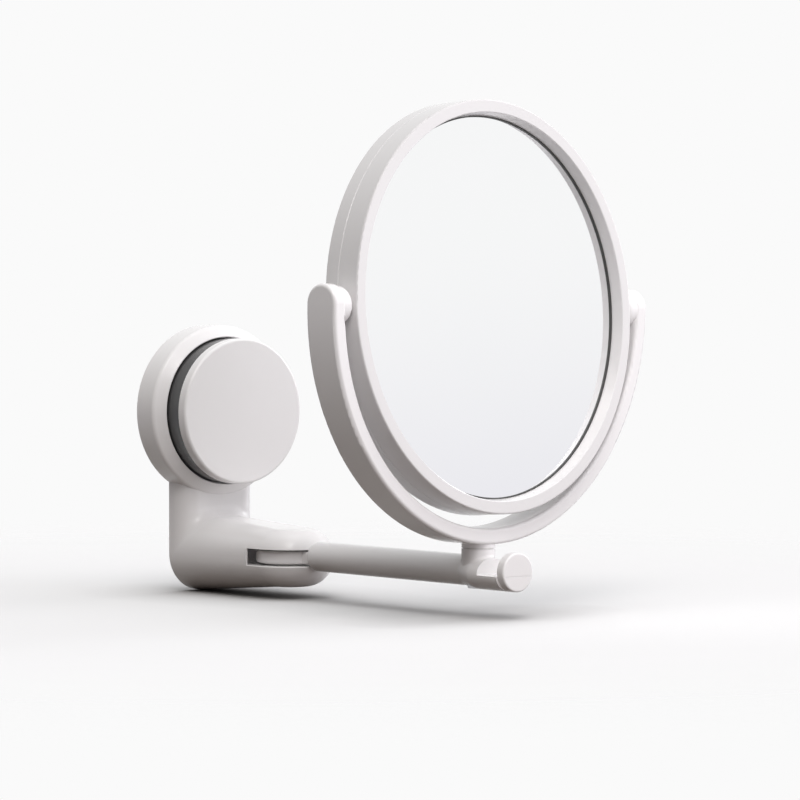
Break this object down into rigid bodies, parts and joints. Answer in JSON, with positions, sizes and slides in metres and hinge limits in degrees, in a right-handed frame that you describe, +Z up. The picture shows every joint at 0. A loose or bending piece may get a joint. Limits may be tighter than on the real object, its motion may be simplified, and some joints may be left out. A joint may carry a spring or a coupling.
{
  "type": "wall magnifying mirror",
  "caption": "Round two-sided vanity mirror in a half-ring yoke on a swinging arm, held to the wall by a suction base that a turning knob draws tight.",
  "frame": {"origin": "centre of the suction pad's face on the wall", "axes": "the wall is the plane Y = 0, +Y points into the wall, -Y out into the room, +Z is up"},
  "size_m": [0.1936, 0.2124, 0.2122],
  "materials": {
    "white_shell": "glossy",
    "dark_shell": "glossy",
    "mirror_glass": "polished",
    "pad_rubber": "satin",
    "grey_rubber": "matte",
    "steel": "satin",
    "brass": "satin",
    "slip_plastic": "matte",
    "board": "matte",
    "foam": "matte"
  },
  "bodies": {
    "base": {"suction_pad": "pad_rubber", "base_housing": "white_shell", "back_cover": "white_shell", "cover_screws": "steel", "wall_bumper": "grey_rubber", "thrust_washer": "slip_plastic", "hinge_screw": "steel", "hinge_insert": "brass", "hinge_plug": "white_shell", "hinge_washers": "slip_plastic"},
    "knob": {"knob_drum": "dark_shell", "knob_cap": "white_shell", "knob_nut": "steel"},
    "stud": {"draw_stud": "steel", "stud_clip": "steel"},
    "arm": {"arm_tongue": "white_shell", "arm_tube": "white_shell", "arm_end_fitting": "white_shell", "hook_end_disc": "white_shell", "swivel_washer": "slip_plastic"},
    "yoke": {"yoke": "white_shell", "retainer_washer": "steel", "retainer_screw": "steel", "pivot_pins": "steel"},
    "mirror": {"front_bezel": "white_shell", "rear_bezel": "white_shell", "plain_glass": "mirror_glass", "magnifying_glass": "mirror_glass", "backing_board": "board", "foam_ring": "foam", "pivot_bushes": "slip_plastic", "tilt_washers": "slip_plastic"}
  },
  "joints": [
    {"name": "knob_turn", "type": "hinge", "parent": "base", "child": "knob", "pos_m": [0, -0.0107, 0], "axis": [0, 1, 0], "range_deg": [0, 540]},
    {"name": "stud_draw", "type": "slide", "parent": "base", "child": "stud", "axis": [0, -1, 0], "range_m": [0, 0.00225]},
    {"name": "arm_swing", "type": "hinge", "parent": "base", "child": "arm", "pos_m": [0, -0.062, -0.0607], "axis": [0, 0, 1], "range_deg": [-90, 90]},
    {"name": "head_swivel", "type": "hinge", "parent": "arm", "child": "yoke", "pos_m": [0, -0.187, -0.0607], "axis": [0.0227, 0, 0.9997], "continuous": true},
    {"name": "mirror_tilt", "type": "hinge", "parent": "yoke", "child": "mirror", "pos_m": [0.00245, -0.187, 0.04727], "axis": [0.989, 0.1462, -0.0224], "continuous": true}
  ],
  "couplings": [
    {"joint": "stud_draw", "follows": "knob_turn", "m_per_rad": 0.00023873}
  ]
}
